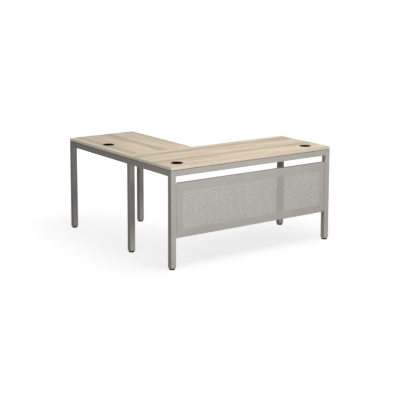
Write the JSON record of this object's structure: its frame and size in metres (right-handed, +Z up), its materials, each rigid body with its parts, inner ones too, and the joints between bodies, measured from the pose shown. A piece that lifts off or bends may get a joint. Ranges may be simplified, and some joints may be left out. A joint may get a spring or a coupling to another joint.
{
  "type": "l-shaped desk",
  "caption": "L-shaped office desk: a main desk and a return with wood-grain worktops on a square steel tube frame, with a perforated modesty panel",
  "frame": {"origin": "on the floor, under the centre of the square that the desk fills", "axes": "+Z up; -Y is the visitor's side with the modesty panel; the return runs towards +Y along the -X side"},
  "size_m": [1.524, 1.524, 0.764],
  "materials": {
    "worktop": "pale oak laminate, satin",
    "edging": "wood-grain plastic edging",
    "frame_paint": "warm grey-silver powder coat on steel tube",
    "panel_paint": "warm grey-silver powder coat on perforated steel sheet",
    "zinc": "zinc-plated steel",
    "black_plastic": "moulded black plastic"
  },
  "bodies": {
    "desk": {"main_top": "worktop", "return_top": "worktop", "main_top_edging": "edging", "return_top_edging": "edging", "main_spacer": "black_plastic", "return_spacer": "black_plastic", "front_left_leg": "frame_paint", "front_right_leg": "frame_paint", "back_left_leg": "frame_paint", "back_right_leg": "frame_paint", "return_outer_leg": "frame_paint", "return_inner_leg": "frame_paint", "front_rail": "frame_paint", "back_rail": "frame_paint", "left_rail": "frame_paint", "right_rail": "frame_paint", "return_outer_rail": "frame_paint", "return_far_rail": "frame_paint", "return_inner_rail": "frame_paint", "inner_leg_plate": "frame_paint", "worktop_tabs": "frame_paint", "modesty_panel": "panel_paint", "rail_spigots": "zinc", "rail_bolts": "zinc", "leg_plate_bolts": "zinc", "leg_top_plates": "zinc", "leg_inserts": "zinc", "worktop_screws": "zinc", "panel_screws": "zinc", "panel_washers": "black_plastic", "left_grommet_liner": "black_plastic", "right_grommet_liner": "black_plastic", "return_grommet_liner": "black_plastic"},
    "front_left_levelling_foot": {"front_left_foot": "black_plastic", "front_left_stem": "zinc"},
    "front_right_levelling_foot": {"front_right_foot": "black_plastic", "front_right_stem": "zinc"},
    "back_left_levelling_foot": {"back_left_foot": "black_plastic", "back_left_stem": "zinc"},
    "back_right_levelling_foot": {"back_right_foot": "black_plastic", "back_right_stem": "zinc"},
    "return_outer_levelling_foot": {"return_outer_foot": "black_plastic", "return_outer_stem": "zinc"},
    "return_inner_levelling_foot": {"return_inner_foot": "black_plastic", "return_inner_stem": "zinc"},
    "left_cap": {"left_grommet_cap": "black_plastic"},
    "right_cap": {"right_grommet_cap": "black_plastic"},
    "return_cap": {"return_grommet_cap": "black_plastic"}
  },
  "joints": [
    {"name": "front_left_foot_slide", "type": "slide", "parent": "desk", "child": "front_left_levelling_foot", "axis": [0, 0, -1], "range_m": [0, 0.02]},
    {"name": "front_right_foot_slide", "type": "slide", "parent": "desk", "child": "front_right_levelling_foot", "axis": [0, 0, -1], "range_m": [0, 0.02]},
    {"name": "back_left_foot_slide", "type": "slide", "parent": "desk", "child": "back_left_levelling_foot", "axis": [0, 0, -1], "range_m": [0, 0.02]},
    {"name": "back_right_foot_slide", "type": "slide", "parent": "desk", "child": "back_right_levelling_foot", "axis": [0, 0, -1], "range_m": [0, 0.02]},
    {"name": "return_outer_foot_slide", "type": "slide", "parent": "desk", "child": "return_outer_levelling_foot", "axis": [0, 0, -1], "range_m": [0, 0.02]},
    {"name": "return_inner_foot_slide", "type": "slide", "parent": "desk", "child": "return_inner_levelling_foot", "axis": [0, 0, -1], "range_m": [0, 0.02]},
    {"name": "left_cap_turn", "type": "hinge", "parent": "desk", "child": "left_cap", "pos_m": [-0.627, -0.637, 0.762], "axis": [0, 0, 1], "continuous": true},
    {"name": "right_cap_turn", "type": "hinge", "parent": "desk", "child": "right_cap", "pos_m": [0.609, -0.637, 0.762], "axis": [0, 0, 1], "continuous": true},
    {"name": "return_cap_turn", "type": "hinge", "parent": "desk", "child": "return_cap", "pos_m": [-0.654, 0.306, 0.762], "axis": [0, 0, 1], "continuous": true}
  ]
}
